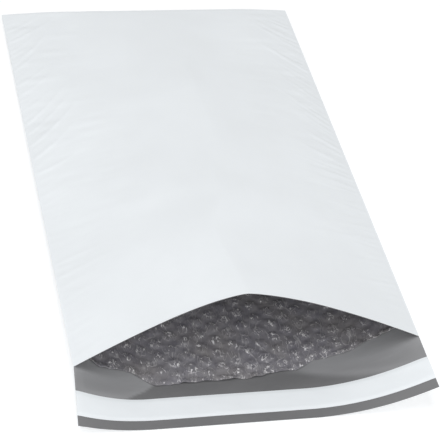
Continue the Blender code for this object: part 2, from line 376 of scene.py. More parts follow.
class LiningLook(PropertyGroup):
    """The bubble lining's sizes and colours."""

    pitch: length("Bubble pitch", 0.011, "Between two bubbles of a column")
    bubble_radius: length("Bubble radius", 0.0046, "Radius of a bubble's foot")
    bubble_height: length("Bubble height", 0.00065, "Height of a full bubble")
    dome_power: share("Dome power", 2.8, "Shape of a bubble: 2 is a ball, 4 is a flat-topped drum")
    dent: share("Dents", 0.42, "How deep the slack bubbles are dented")
    sheet: length("Sheet", 0.0004, "Thickness of the lining between its bubbles")
    setback: length("Setback", 0.0020, "How far inside the front panel's edge the lining stops")
    wrinkle_height: length("Wrinkle height", 0.00015, "Height of the crinkles in the lining")
    edge_ruffle: length("Edge ruffle", 0.0013, "How far the cut edge stands up")
    dark: colour("Dark", (0.192, 0.187, 0.212), "Colour of the lining in its folds")
    light: colour("Light", (0.258, 0.252, 0.268), "Colour of the lining on its bubbles")
    warm: colour("Warm", (0.250, 0.232, 0.208), "Colour of the lining in its browner patches")
    # Painted highlight: a near-white colour painted in glints on the bubble tops and beside the cut
    # edge, and in pale lines along the folds, in place of lamp reflections
    painted_highlight: colour("Painted highlight", (0.88, 0.87, 0.88), "Colour of the lining along its sharp creases")
    roughness: share("Roughness", 0.42, "Roughness of the lining under its gloss")
    facet_size: length("Facet size", 0.0012, "Size of the flat facets of the crumpled film")
    facet_tilt: share("Facet tilt", 1.0, "How steeply the facets lean: 1 is about 40 degrees")
    seed: IntProperty(name="Seed", description="Picks another set of dents", default=3, min=0)


class StripLook(PropertyGroup):
    """The closing strip on the flap."""

    liner_start: length("Liner start", 0.0156, "From the mouth to the liner")
    liner_width: length("Liner width", 0.0160, "Width of the release liner")
    liner_wall: length("Liner", 0.00012, "Thickness of the release liner")
    adhesive_margin: length("Margin", 0.0022, "How far the liner reaches past the adhesive")
    adhesive_wall: length("Adhesive", 0.00025, "Thickness of the adhesive")
    liner: colour("Liner colour", (0.762, 0.795, 0.820), "Colour of the release liner")
    adhesive: colour("Adhesive colour", (0.62, 0.50, 0.30), "Colour of the adhesive")
    liner_roughness: share("Liner roughness", 0.62, "Roughness of the release liner")


class StudioLook(PropertyGroup):
    """The floor, the light and the camera."""

    floor: colour("Floor", (0.84, 0.85, 0.86), "Colour of the floor")
    floor_glow: share("Floor glow", 0.46, "Light that the floor shows to the camera by itself")
    sky: share("Sky", 0.355, "Strength of the light from all round")
    high_lamp: share("High lamp", 0.365, "Light of the wide lamp above, where 1 shows white as white")
    front_lamp: share("Front lamp", 0.325, "Light of the wide lamp in front, into the mouth")
    right_lamp: share("Right lamp", 0.10, "Light of the wide lamp at the front right")
    spark_lamp: share("Spark lamps", 0.035, "Light of each small lamp that glints in the lining")
    lamp_distance: length("Lamp distance", 2.6, "From the mailer to each lamp")
    camera_azimuth: angle("Camera azimuth", 16.853, "Direction of view, turned right from +Y")
    camera_fall: angle("Camera fall", 40.615, "Direction of view, below the horizon")
    camera_roll: angle("Camera roll", 8.577, "Turn of the camera about its view")
    camera_place: FloatVectorProperty(
        name="Camera place",
        description="Where the camera stands",
        default=(-0.219866, -0.792019, 0.683555),
        subtype="TRANSLATION",
        unit="LENGTH",
    )
    camera_lens: FloatProperty(
        name="Lens", description="Focal length on a 36 mm sensor", default=132.29, unit="CAMERA"
    )


class MailerSettings(PropertyGroup):
    """Everything that a user can set."""

    form: PointerProperty(type=MailerForm, name="Form", description="Sizes of the mailer")
    film: PointerProperty(type=FilmLook, name="Film", description="Outer film")
    lining: PointerProperty(type=LiningLook, name="Lining", description="Bubble lining")
    strip: PointerProperty(type=StripLook, name="Strip", description="Closing strip")
    studio: PointerProperty(type=StudioLook, name="Studio", description="Floor, light and camera")


def limited(value):
    """A share kept between 0 and 1."""
    return np.clip(value, 0.0, 1.0)


def eased(value):
    """A share that starts and stops gently."""
    kept = limited(value)
    return kept * kept * (3.0 - 2.0 * kept)


def rising(value, start, stop):
    """A share that goes gently from 0 at the start to 1 at the stop."""
    return eased((value - start) / (stop - start))


def falling(value, start, stop):
    """A share that goes gently from 1 at the start to 0 at the stop."""
    return eased((stop - value) / (stop - start))


def through(places, value):
    """A smooth line through a few (place, value) pairs."""
    result = np.full(np.shape(value), places[0][1])
    for (start, low), (stop, high) in zip(places, places[1:]):
        result = result + (high - low) * rising(value, start, stop)
    return result


def noise(across, inward, grain, seed):
    """Smooth noise between -1 and 1, with one random value for each cell of the sheet."""
    cell_across, cell_inward, number = grain
    random = np.random.default_rng(seed + number)
    values = random.uniform(-1.0, 1.0, (NOISE_CELLS, NOISE_CELLS))
    column, row = np.broadcast_arrays(across / cell_across, inward / cell_inward)
    left, near = np.floor(column).astype(int), np.floor(row).astype(int)
    right_share, far_share = eased(column - left), eased(row - near)

    def value(columns, rows):
        """The random values at some corners of the cells."""
        return values[columns % NOISE_CELLS, rows % NOISE_CELLS]

    near_value = value(left, near) * (1 - right_share) + value(left + 1, near) * right_share
    far_value = value(left, near + 1) * (1 - right_share) + value(left + 1, near + 1) * right_share
    return near_value * (1 - far_share) + far_value * far_share


def wrinkles(across, inward, grain, sharpness, seed):
    """Thin winding ridges, 1 on their crest and 0 beside them, where a noise changes sign."""
    return limited(1.0 - np.abs(noise(across, inward, grain, seed)) * sharpness)


def from_seal(form, across):
    """The distance from the nearer side seal, which is 0 on the seal itself."""
    return np.maximum(np.minimum(across, form.width - across) - form.seal_width, 0.0)


def curled(form, across, left_lift, right_lift, left_curl, right_curl):
    """Height of a sheet that lies flat in its middle and curls up to both of its sides."""
    left = across < form.width / 2
    lift = np.where(left, left_lift, right_lift)
    curl = np.where(left, left_curl, right_curl)
    return lift * (1.0 - limited(from_seal(form, across) / curl)) ** 2


def back_height(form, across):
    """Height of the back panel's outer face at the mouth."""
    return curled(form, across, form.left_lift, form.right_lift, form.left_curl, form.right_curl)


def front_height(form, across, inward):
    """Height of the front panel's gable, whose ridge wanders on the way in."""
    ridge = through(RIDGE_PATH, inward)
    left = across < ridge
    seam = np.where(left, form.left_lift, form.right_lift) + 2 * form.film_wall
    side = np.where(left, ridge, form.width - ridge) - form.seal_width
    below_ridge = limited(np.abs(across - ridge) / side)
    return form.ridge_height - (form.ridge_height - seam) * below_ridge ** form.gable_power


def end_back(form, across):
    """Height of the back panel's outer face at the closed end."""
    return curled(form, across, form.end_seam_lift, form.end_seam_lift, form.end_curl, form.end_curl)


def end_front(form, across):
    """Height of the front panel's outer face at the closed end: a low crown over the padding."""
    seam = form.end_seam_lift + 2 * form.film_wall
    below_crown = 1.0 - limited(from_seal(form, across) / form.crown_width)
    return form.end_thickness - (form.end_thickness - seam) * below_crown ** form.crown_power


def fold_radius(form, across):
    """Radius of the closed end's fold, outside the film."""
    return (end_front(form, across) - end_back(form, across)) / 2


def closed_end_y(form):
    """Where the closed end lies, with the whole mailer centred on the origin."""
    return (form.body_length + form.flap_length) / 2


def bare_point(form, front, across, inward):
    """A point on the smooth outer face of a panel, before any crease."""
    centred = across - form.width / 2
    mouth_x = centred * form.mouth_width / form.width
    mouth_z = front_height(form, across, 0.0) if front else back_height(form, across)
    here_z = front_height(form, across, np.maximum(inward, 0.0)) if front else mouth_z
    end_z = end_front(form, across) if front else end_back(form, across)
    radius = fold_radius(form, across)
    run = np.sqrt(
        (form.body_length - radius) ** 2 - (centred - mouth_x) ** 2 - (end_z - mouth_z) ** 2
    )
    mouth_y = closed_end_y(form) - radius - run
    way = np.maximum(inward, 0.0) / form.body_length
    x = mouth_x + (centred - mouth_x) * way
    y = mouth_y + run * way
    z = here_z + (end_z - here_z) * way
    if not front:
        free_x = centred * form.flap_end_width / form.width
        free_z = curled(
            form, across, form.flap_left_lift, form.flap_right_lift, form.left_curl, form.right_curl
        )
        free_run = np.sqrt(form.flap_length ** 2 - (free_x - mouth_x) ** 2 - (free_z - mouth_z) ** 2)
        out = np.maximum(-inward, 0.0) / form.flap_length
        x = x + (free_x - mouth_x) * out
        y = y - free_run * out
        z = z + (free_z - mouth_z) * out
    return np.stack(np.broadcast_arrays(x, y, z), axis=-1)


def seam_creases(mailer, side):
    """The creases that leave one side seam: start, slope, bend, reach, width and height of each."""
    film, form = mailer.film, mailer.form
    random = np.random.default_rng(film.seed + side)
    start = film.crease_space
    while start < form.body_length - film.crease_space:
        fanned = rising(start, *CREASES_FAN) * (1.0 - CLOSED_SHARE * rising(start, *CREASES_CLOSE))
        strength = WEAKEST + (1.0 - WEAKEST) * random.random() ** STRENGTH_POWER
        yield (
            start,
            FANNED_SLOPE * fanned + random.uniform(*LEAN_SPREAD),
            FANNED_BEND * fanned * random.uniform(*BEND_SPREAD),
            SHORT_REACH + LONG_REACH * strength * random.uniform(*REACH_SPREAD),
            film.crease_width * random.uniform(*WIDTH_SPREAD),
            film.crease_height * strength * (UNFANNED_HEIGHT + (1.0 - UNFANNED_HEIGHT) * fanned),
        )
        start += film.crease_space * random.uniform(*SPACE_SPREAD)


def crease_relief(mailer, across, inward):
    """Height of the creases that leave both side seams of the front panel."""
    form = mailer.form
    relief = np.zeros(across.shape)
    for side in (0, 1):
        away = (across if side == 0 else form.width - across) - form.seal_width
        for start, slope, bend, reach, width, height in seam_creases(mailer, side):
            line = start + slope * away + bend * away ** 2
            steepness = np.hypot(1.0, slope + 2 * bend * away)
            off = CREASE_SHARPNESS * (inward - line) / (width * steepness)
            fade = falling(away, 0.0, reach) * rising(away, 0.0, CREASE_CALM)
            relief += height * fade / np.cosh(np.clip(off, -CREASE_TAIL, CREASE_TAIL))
    return relief


def ripple_relief(mailer, across, inward):
    """Height of the fine ripples that lean away from both side seams of the front panel."""
    film, form = mailer.film, mailer.form
    skew = across + RIPPLE_SKEW * inward * np.where(across < form.width / 2, -1.0, 1.0)
    away = from_seal(form, across)
    puckered = rising(away, 0.0, RIPPLE_CALM) * falling(away, 0.0, RIPPLE_REACH)
    ripples = noise(skew, inward, RIPPLE_GRAIN, film.seed)
    return film.ripple_height * ripples * puckered * rising(inward, *RIPPLES_GROW)


def front_relief(mailer, across, inward, fine):
    """How far the front panel stands above its smooth form: its crest, waves and fine creases."""
    film, form = mailer.film, mailer.form
    across, inward = np.broadcast_arrays(across, inward)
    off_ridge = np.hypot(across - through(RIDGE_PATH, inward), RIDGE_ROUNDING)
    crest = film.crest_height * np.exp(-off_ridge / film.crest_width)
    relief = crest * rising(inward, *CREST_GROWS) * falling(inward, *CREST_FADES)
    waves = noise(across, inward, WAVE_GRAIN, film.seed)
    waves += SMALL_WAVES * noise(across, inward, SMALL_WAVE_GRAIN, film.seed)
    free = rising(from_seal(form, across), 0.0, WAVE_CALM) * rising(inward, *WAVES_GROW)
    relief += film.wave_height * waves * free
    if fine:
        relief += crease_relief(mailer, across, inward) + ripple_relief(mailer, across, inward)
    return relief * rising(form.body_length - inward, 0.0, END_CALM)


def right_line(across, start):
    """How far out from the mouth a line on the flap's right half lies."""
    return start + LINE_SLOPE * np.maximum(across - LINE_BEND, 0.0)


def left_of_fold(across, inward):
    """How far a place lies to the left of the fold across the flap's left corner."""
    return np.interp(inward, *zip(*CORNER_FOLD)) - across


def back_relief(mailer, across, inward):
    """How far the back panel and the flap stand above their smooth form, and never below it."""
    film, form = mailer.film, mailer.form
    waves = noise(across, inward, BACK_WAVE_GRAIN, film.seed)
    relief = BACK_WAVES * film.wave_height * (1.0 + waves) * falling(inward, *BACK_WAVES_FADE)
    outside = np.maximum(left_of_fold(across, inward), 0.0) * FOLD_SQUARE
    fold = film.fold_slope * outside * np.exp(-outside / FOLD_ROUNDING)
    relief += fold * rising(inward, *FOLD_GROWS) * falling(inward, *FOLD_FADES)
    shoulder = rising(inward + right_line(across, SHOULDER_LINE), 0.0, SHOULDER_RUN)
    shoulder = shoulder * rising(across, *SHOULDER_ACROSS) * falling(inward, *SHOULDER_FADES)
    relief += film.shoulder * shoulder
    return relief * rising(from_seal(form, across), 0.0, BACK_CALM)


def film_point(mailer, front, across, inward, depth=0.0, fine=True):
    """A point at a depth into the mailer from a panel's outer face, with its creases or without."""
    form = mailer.form
    point = bare_point(form, front, across, inward)
    low = bare_point(form, front, across - SLOPE_STEP, inward)
    high = bare_point(form, front, across + SLOPE_STEP, inward)
    slope = (high[..., 2] - low[..., 2]) / (high[..., 0] - low[..., 0])
    tilt = np.where(from_seal(form, across) < WELD_DISTANCE, 1.0, np.hypot(1.0, slope))
    if front:
        point[..., 2] += front_relief(mailer, across, inward, fine) - depth * tilt
    else:
        point[..., 2] += back_relief(mailer, across, inward) + depth * tilt
    return point


def fold_point(mailer, across, turn, depth=0.0):
    """A point in the closed end's fold: a turn of 90 degrees is the front panel, -90 the back."""
    form = mailer.form
    radius = fold_radius(form, across)
    reach = np.maximum(radius - depth, 0.0)
    middle = (end_front(form, across) + end_back(form, across)) / 2
    turned = np.radians(turn)
    return np.stack(
        np.broadcast_arrays(
            across - form.width / 2,
            closed_end_y(form) - radius + reach * np.cos(turned),
            middle + reach * np.sin(turned),
        ),
        axis=-1,
    )


class Skin:
    """Grids of points that become one welded mesh."""

    def __init__(self):
        self.points = []
        self.faces = []
        self.slots = []
        self.marks = []
        self.count = 0

    def grid(self, points, slot=0, mark=0.0):
        """Adds the faces between rows of points; mark is a value kept on each point."""
        rows, columns = points.shape[:2]
        index = self.count + np.arange(rows * columns).reshape(rows, columns)
        corners = [index[:-1, :-1], index[:-1, 1:], index[1:, 1:], index[1:, :-1]]
        faces = np.stack(corners, axis=-1).reshape(-1, 4)
        self.points.append(points.reshape(-1, 3))
        self.faces.append(faces)
        self.slots.append(np.full(len(faces), slot))
        self.marks.append(np.broadcast_to(mark, (rows, columns)).reshape(-1))
        self.count += rows * columns

    def build(self, name, materials, mark_name=None):
        """The object, with its points welded and its faces turned outwards."""
        mesh = bpy.data.meshes.new(name)
        mesh.from_pydata(np.concatenate(self.points).tolist(), [], np.concatenate(self.faces).tolist())
        mesh.polygons.foreach_set("material_index", np.concatenate(self.slots))
        if mark_name:
            marks = mesh.attributes.new(mark_name, "FLOAT", "POINT")
            marks.data.foreach_set("value", np.concatenate(self.marks).astype(np.float32))
        work = bmesh.new()
        work.from_mesh(mesh)
        bmesh.ops.remove_doubles(work, verts=work.verts, dist=WELD_DISTANCE)
        bmesh.ops.recalc_face_normals(work, faces=work.faces)
        work.to_mesh(mesh)
        work.free()
        for material in materials:
            mesh.materials.append(material)
        mesh.shade_smooth()
        mesh.set_sharp_from_angle(angle=math.radians(SHARP_ANGLE))
        piece = bpy.data.objects.new(name, mesh)
        bpy.context.scene.collection.objects.link(piece)
        return piece


def spaced(places, spaces):
    """Values through the places, with about the given space between them on each stretch."""
    values = [places[0]]
    for start, stop, space in zip(places, places[1:], spaces):
        count = max(round((stop - start) / space), 1)
        values += [start + (stop - start) * step / count for step in range(1, count + 1)]
    return np.array(values)


def side_by_side(*edges):
    """Rows of points between edges that run beside each other."""
    return np.stack(edges, axis=1)


def painted_light(across, inward):
    """How much painted light makes the grey film paler: outside the left corner's fold, at the right,
    and along the flap's free end.
    """
    left = rising(left_of_fold(across, inward), 0.0, PAINTED_LIGHT_EDGE)
    right = PAINTED_LIGHT_RIGHT * rising(across, *PAINTED_LIGHT_ACROSS)
    right = right * rising(inward + right_line(across, PAINTED_LIGHT_LINE), 0.0, PAINTED_LIGHT_RUN)
    strength = sum(part * rising(inward, *stretch) for part, stretch in PAINTED_LIGHT_SHARES)
    painted_share = np.maximum(left, right) * strength * falling(inward, *PAINTED_LIGHT_FADES)
    return painted_share + FREE_END_PAINTED_LIGHT * falling(inward, *FREE_END_PAINTED_LIGHT_FADES)


def build_film(mailer):
    """The folded and side-sealed web of film with its flap."""
    form = mailer.form
    width, seal, wall = form.width, form.seal_width, form.film_wall
    stop = form.body_length
    fine_left, fine_right = seal + FINE_LEFT, width - seal - FINE_RIGHT
    whole = spaced((0.0, seal, fine_left, fine_right, width - seal, width), FILM_COLUMNS)
    sealed = whole[(whole > seal - WELD_DISTANCE) & (whole < width - seal + WELD_DISTANCE)]
    front_rows = spaced((0.0, stop), (FILM_ROWS,))[:, None]
    back_rows = spaced((0.0, NEAR_MOUTH, stop), BACK_ROWS)[:, None]
    inner_rows = spaced((0.0, NEAR_MOUTH, stop), INNER_ROWS)[:, None]
    flap_rows = spaced((-form.flap_length, 0.0), (FILM_ROWS,))[::-1, None]
    turns = np.linspace(90.0, -90.0, FILM_TURNS)[1:-1, None]

    skin = Skin()
    front = film_point(mailer, True, whole, front_rows)
    back = film_point(mailer, False, whole, back_rows)
    flap = film_point(mailer, False, whole, flap_rows)
    fold = fold_point(mailer, whole, turns)
    skin.grid(np.concatenate([front, fold, back[::-1], flap[1:]]), slot=0)

    inner_front = film_point(mailer, True, sealed, inner_rows, wall, fine=False)
    inner_back = film_point(mailer, False, sealed, inner_rows, wall)
    inner_fold = fold_point(mailer, sealed, turns, wall)
    skin.grid(np.concatenate([inner_front, inner_fold]), slot=1)
    # Painted light, kept on each point of the grey side, makes it paler where the flap catches more
    # light
    inner_painted_light = np.concatenate([np.zeros((1, len(sealed))), painted_light(sealed, inner_rows)[::-1]])
    skin.grid(np.concatenate([inner_fold[-1:], inner_back[::-1]]), slot=1, mark=inner_painted_light)
    inner_flap = film_point(mailer, False, whole, flap_rows, wall)
    skin.grid(inner_flap, slot=1, mark=painted_light(whole, flap_rows))

    mouth_rim = film_point(mailer, True, whole, np.array([[0.0]]), wall, fine=False)[0]
    skin.grid(side_by_side(front[0], mouth_rim), slot=1)
    skin.grid(side_by_side(flap[-1], inner_flap[-1]), slot=1)
    for side in (0, -1):
        skin.grid(side_by_side(flap[:, side], inner_flap[:, side]), slot=0)
        weld = film_point(mailer, True, whole[[side]], front_rows, wall)[:, 0]
        skin.grid(side_by_side(front[:, side], weld), slot=0)
        under = film_point(mailer, False, whole[[side]], back_rows, wall)[:, 0]
        skin.grid(side_by_side(back[:, side], under), slot=0)
    return skin.build("mailer_film", [white_film(mailer), grey_film(mailer)], "painted_light")


def lining_cut(mailer, across, front):
    """Where the lining was cut off, with a hand-cut wobble."""
    look = mailer.lining
    wobble = CUT_WOBBLE * noise(across, EDGE_ROW, CUT_GRAIN, look.seed)
    wobble += SLOW_CUT_WOBBLE * noise(across, EDGE_ROW, SLOW_CUT_GRAIN, look.seed)
    cut = through(LINING_CUT, across)
    if front:
        side = mailer.form.width - mailer.form.seal_width
        near = np.exp(-((from_seal(mailer.form, across) / CUT_TURN) ** 2))
        edge = np.where(across < side / 2, LINING_CUT[0][1], LINING_CUT[-1][1])
        cut = look.setback + (edge - look.setback) * near
    return cut + wobble


def bubbles(mailer, across, inward):
    """Height of the bubbles over the flat of the lining, as a share of a full one."""
    look = mailer.lining
    column_space = look.pitch * math.sqrt(3) / 2
    place = (across - mailer.form.width / 2) / column_space
    column = np.floor(place).astype(int)
    row_place = inward / look.pitch - 0.5 * (column % 2)
    row = np.floor(row_place).astype(int)
    sideways = (place - column - 0.5) * column_space
    along = (row_place - row - 0.5) * look.pitch
    random = np.random.default_rng(look.seed)
    tables = random.random((4, NOISE_CELLS, NOISE_CELLS))
    fullness, dent, dent_turn, dent_off = tables[:, column % NOISE_CELLS, row % NOISE_CELLS]
    away = np.hypot(sideways, along) / look.bubble_radius
    dome = limited(1.0 - away ** look.dome_power)
    dent_x = dent_off * DENT_SHIFT * np.cos(dent_turn * 2 * math.pi)
    dent_y = dent_off * DENT_SHIFT * np.sin(dent_turn * 2 * math.pi)
    off_dent = np.hypot(sideways / look.bubble_radius - dent_x, along / look.bubble_radius - dent_y)
    dome = dome * (1.0 - look.dent * dent ** DENT_POWER * np.exp(-((off_dent / DENT_SIZE) ** 2)))
    return dome * (SLACKEST + (1.0 - SLACKEST) * fullness)


def lining_thickness(mailer, across, inward, cut):
    """Thickness of the lining: its bubbles, crinkles and the flattened strip beside its cut edge."""
    look = mailer.lining
    crinkle = sum(
        strength * wrinkles(across, inward, grain, sharpness, look.seed)
        for strength, grain, sharpness in CRINKLES
    )
    crinkle = crinkle + FINE_CRINKLE * noise(across, inward, FINE_CRINKLE_GRAIN, look.seed)
    domes = look.bubble_height * bubbles(mailer, across, inward) * rising(inward - cut, *FLAT_EDGE)
    return look.sheet + domes + look.wrinkle_height * (CRINKLE_MIDDLE + crinkle)


def lining_grid(mailer, front, across, rows, closed=True):
    """The lining's outer and inner face over one panel, and how crumpled the film is at each point."""
    form, look = mailer.form, mailer.lining
    cut = lining_cut(mailer, across, front)
    inward = cut + (form.body_length - LINING_STOP - cut) * rows
    pocket = np.maximum(inward, 0.0)
    top = bare_point(form, True, across, pocket)
    bottom = bare_point(form, False, across, pocket)
    middle = (top + bottom) / 2
    base = film_point(mailer, front, across, inward, fine=False)
    square = film_point(mailer, front, across, inward, 1.0, fine=False)
    tilt = np.abs(square[..., 2] - base[..., 2])
    clear = np.maximum((top - bottom)[..., 2] / (2 * tilt) - form.film_wall, 0.0)
    near_cut = falling(inward - cut, 0.0, RUFFLE_REACH)
    uneven = limited(RUFFLE_MIDDLE + RUFFLE_SPREAD * noise(across, EDGE_ROW, RUFFLE_GRAIN, look.seed))
    room = form.clearance + (0.0 if front else near_cut * look.edge_ruffle * uneven)
    outer_depth = form.film_wall + np.minimum(room, OUTER_SHARE * clear)
    thick = lining_thickness(mailer, across, inward, cut)
    inner_depth = form.film_wall + np.minimum(room + thick, INNER_SHARE * clear)
    faces = []
    for depth in (outer_depth, inner_depth):
        points = base.copy()
        points[..., 2] += depth * tilt * (-1.0 if front else 1.0)
        points[:, 0] = middle[:, 0]
        points[:, -1] = middle[:, -1]
        faces.append(points)
    if closed:
        faces[1][-1] = middle[-1]
    # The crumple tilts the glossy facets, and also places the painted glints: most on the bubbles and
    # beside the cut edge
    domes = limited(bubbles(mailer, across, inward) * CRUMPLE_GAIN)
    crumple = np.maximum(FLAT_CRUMPLE + (1.0 - FLAT_CRUMPLE) * domes, near_cut)
    return faces[0], faces[1], crumple


def build_lining(mailer):
    """The folded web of bubble film inside the pocket."""
    form = mailer.form
    margin = form.seal_width + LINING_MARGIN
    across = spaced((margin, form.width - margin), (LINING_COLUMNS,))
    stop = form.body_length - LINING_STOP
    rows = (spaced((0.0, *LINING_PLACES, stop), LINING_ROWS) / stop)[:, None]
    outer_rows = (spaced((0.0, OUTER_PLACE, stop), OUTER_ROWS) / stop)[:, None]
    turns = np.linspace(90.0, -90.0, LINING_TURNS)[:, None]

    skin = Skin()
    outer = {}
    for front in (True, False):
        inner, crumple = lining_grid(mailer, front, across, rows)[1:]
        skin.grid(inner, mark=crumple)
        outer[front] = lining_grid(mailer, front, across, outer_rows, closed=False)[0]
        # The cut edge counts as fully crumpled, so it gets the painted glints too
        skin.grid(side_by_side(outer[front][0], inner[0]), mark=1.0)
    fold = fold_point(mailer, across, turns, form.film_wall + form.clearance)
    top = film_point(mailer, True, across, form.body_length)
    bottom = film_point(mailer, False, across, form.body_length)
    for side in (0, -1):
        fold[:, side] = (top[side] + bottom[side]) / 2
    skin.grid(np.concatenate([outer[True], fold, outer[False][::-1]]))
    return skin.build("bubble_film", [bubble_film(mailer)], "crumple")


def strip_grid(mailer, start, stop, height):
    """Points over the whole width of the flap, at a height over its grey side."""
    form = mailer.form
    across = spaced((0.0, form.width), (STRIP_COLUMNS,))
    inward = spaced((-stop, -start), (STRIP_ROWS,))[::-1, None]
    film_depth = form.film_wall + height(across, inward)
    return film_point(mailer, False, across, inward, film_depth)


def slab(mailer, name, start, stop, low, high, material):
    """A thin strip on the flap between a low and a high face."""
    under = strip_grid(mailer, start, stop, low)
    over = strip_grid(mailer, start, stop, high)
    skin = Skin()
    skin.grid(under)
    skin.grid(over)
    skin.grid(side_by_side(under[0], over[0]))
    skin.grid(side_by_side(under[-1], over[-1]))
    skin.grid(side_by_side(under[:, 0], over[:, 0]))
    skin.grid(side_by_side(under[:, -1], over[:, -1]))
    return skin.build(name, [material])


def build_strips(mailer):
    """The adhesive band and the liner that covers it."""
    strip, seed = mailer.strip, mailer.film.seed
    start, stop = strip.liner_start, strip.liner_start + strip.liner_width
    margin = strip.adhesive_margin

    def liner_under(across, inward):
        """Height of the liner's lower face, which rests on the adhesive and droops beside it."""
        inside = np.minimum(-inward - start, stop + inward)
        waves = LINER_WAVE * (1.0 + noise(across, inward, LINER_GRAIN, seed))
        return STRIP_GAP + (strip.adhesive_wall + STRIP_GAP) * rising(inside, 0.0, margin) + waves

    def liner_over(across, inward):
        """Height of the liner's upper face."""
        return liner_under(across, inward) + strip.liner_wall

    def adhesive_under(across, inward):
        """Height of the adhesive's lower face."""
        return np.full(np.broadcast_shapes(across.shape, inward.shape), STRIP_GAP)

    def adhesive_over(across, inward):
        """Height of the adhesive's upper face."""
        return adhesive_under(across, inward) + strip.adhesive_wall

    liner = slab(mailer, "liner_strip", start, stop, liner_under, liner_over, liner_film(mailer))
    inner_start, inner_stop = start + margin, stop - margin
    tack = adhesive(mailer)
    band = slab(mailer, "adhesive_band", inner_start, inner_stop, adhesive_under, adhesive_over, tack)
    return liner, band


class Finish:
    """A material and the short calls that put its nodes together."""

    def __init__(self, name):
        self.material = bpy.data.materials.new(name)
        self.material.use_nodes = True
        self.tree = self.material.node_tree
        self.shader = self.tree.nodes["Principled BSDF"]

    def set(self, **values):
        """Plain values on the shader's own sockets."""
        for name, value in values.items():
            self.shader.inputs[name.replace("_", " ")].default_value = value

    def node(self, kind, values=None, **settings):
        """A node with some of its settings and input values."""
        node = self.tree.nodes.new(kind)
        for name, value in settings.items():
            setattr(node, name, value)
        for name, value in (values or {}).items():
            node.inputs[name].default_value = value
        return node

    def link(self, output, socket):
        """Links an output of one node to a socket of another."""
        self.tree.links.new(output, socket)

    def feed(self, name, output):
        """Links an output to one of the shader's own sockets."""
        self.link(output, self.shader.inputs[name])

    def places(self, scale):
        """Object coordinates, stretched by a scale for each axis, in cells a metre."""
        coordinates = self.node("ShaderNodeTexCoord")
        mapping = self.node("ShaderNodeMapping", {"Scale": scale})
        self.link(coordinates.outputs["Object"], mapping.inputs["Vector"])
        return mapping.outputs["Vector"]

    def noise(self, scale, detail=3.0, roughness=0.5, distortion=0.0):
        """Cloudy noise whose cells have the given scale for each axis."""
        values = {"Scale": 1.0, "Detail": detail, "Roughness": roughness, "Distortion": distortion}
        texture = self.node("ShaderNodeTexNoise", values)
        self.link(self.places(scale), texture.inputs["Vector"])
        return texture.outputs["Fac"]

    def between(self, factor, low, high, dark=0.35, bright=0.65):
        """A factor stretched to run from low to high."""
        node = self.node(
            "ShaderNodeMapRange", {"From Min": dark, "From Max": bright, "To Min": low, "To Max": high}
        )
        self.link(factor, node.inputs["Value"])
        return node.outputs["Result"]

    def lines(self, scale, width):
        """Thin winding lines, 1 in their middle, where a noise crosses its mean."""
        off = self.node("ShaderNodeMath", {1: 0.5}, operation="SUBTRACT")
        self.link(self.noise(scale, detail=1.5, distortion=1.0), off.inputs[0])
        away = self.node("ShaderNodeMath", operation="ABSOLUTE")
        self.link(off.outputs["Value"], away.inputs[0])
        return self.between(away.outputs["Value"], 1.0, 0.0, 0.0, width)

    def product(self, first, second):
        """One factor times another."""
        node = self.node("ShaderNodeMath", operation="MULTIPLY")
        self.link(first, node.inputs[0])
        self.link(second, node.inputs[1])
        return node.outputs["Value"]

    def mixed(self, factor, first, second):
        """A colour between two, each a colour or the output of a node."""
        node = self.node("ShaderNodeMix", data_type="RGBA")
        self.link(factor, node.inputs["Factor"])
        for name, value in (("A", first), ("B", second)):
            socket = next(s for s in node.inputs if s.name == name and s.type == "RGBA")
            if isinstance(value, bpy.types.NodeSocket):
                self.link(value, socket)
            else:
                socket.default_value = (*value, 1.0)
        return next(s for s in node.outputs if s.type == "RGBA")

    def clouded(self, clouds, tint, dimming):
        """A colour that clouds dim by a factor in places."""
        return self.mixed(self.between(clouds, 0.0, 1.0), [channel * dimming for channel in tint], tint)

    def bump(self, height, distance, under=None):
        """A bump of that many metres, over another bump if one is given."""
        node = self.node("ShaderNodeBump", {"Strength": 1.0, "Distance": distance})
        self.link(height, node.inputs["Height"])
        if under is not None:
            self.link(under, node.inputs["Normal"])
        return node.outputs["Normal"]

    def facets(self, normal, amount, look):
        """A normal that leans another way on each small facet, by the given amount."""
        cells = self.node("ShaderNodeTexVoronoi", {"Scale": 1.0 / look.facet_size})
        self.link(self.places((1.0, 0.7, 1.0)), cells.inputs["Vector"])
        lean = self.node("ShaderNodeVectorMath", {1: (0.5, 0.5, 0.5)}, operation="SUBTRACT")
        self.link(cells.outputs["Color"], lean.inputs[0])
        strength = self.node("ShaderNodeMath", {1: look.facet_tilt}, operation="MULTIPLY")
        self.link(amount, strength.inputs[0])
        scaled = self.node("ShaderNodeVectorMath", operation="SCALE")
        self.link(lean.outputs["Vector"], scaled.inputs["Vector"])
        self.link(strength.outputs["Value"], scaled.inputs["Scale"])
        total = self.node("ShaderNodeVectorMath", operation="ADD")
        self.link(normal, total.inputs[0])
        self.link(scaled.outputs["Vector"], total.inputs[1])
        unit = self.node("ShaderNodeVectorMath", operation="NORMALIZE")
        self.link(total.outputs["Vector"], unit.inputs[0])
        return unit.outputs["Vector"]


def white_film(mailer):
    """The satin white side of the film: slight streaks from its drawing, and a fine grain."""
    look = mailer.film
    finish = Finish("white_film")
    finish.set(IOR=1.5)
    clouds = finish.noise((26.0, 20.0, 20.0), detail=4.0)
    roughness = look.outside_roughness
    finish.feed("Base Color", finish.clouded(clouds, look.outside, dimming=0.975))
    finish.feed("Roughness", finish.between(clouds, roughness - 0.04, roughness + 0.05))
    streaks = finish.noise((55.0, 330.0, 55.0), detail=2.5, distortion=0.6)
    grain = finish.noise((1500.0, 1500.0, 1500.0), detail=1.0)
    normal = finish.bump(streaks, distance=0.00006)
    finish.feed("Normal", finish.bump(grain, distance=0.000012, under=normal))
    return finish.material


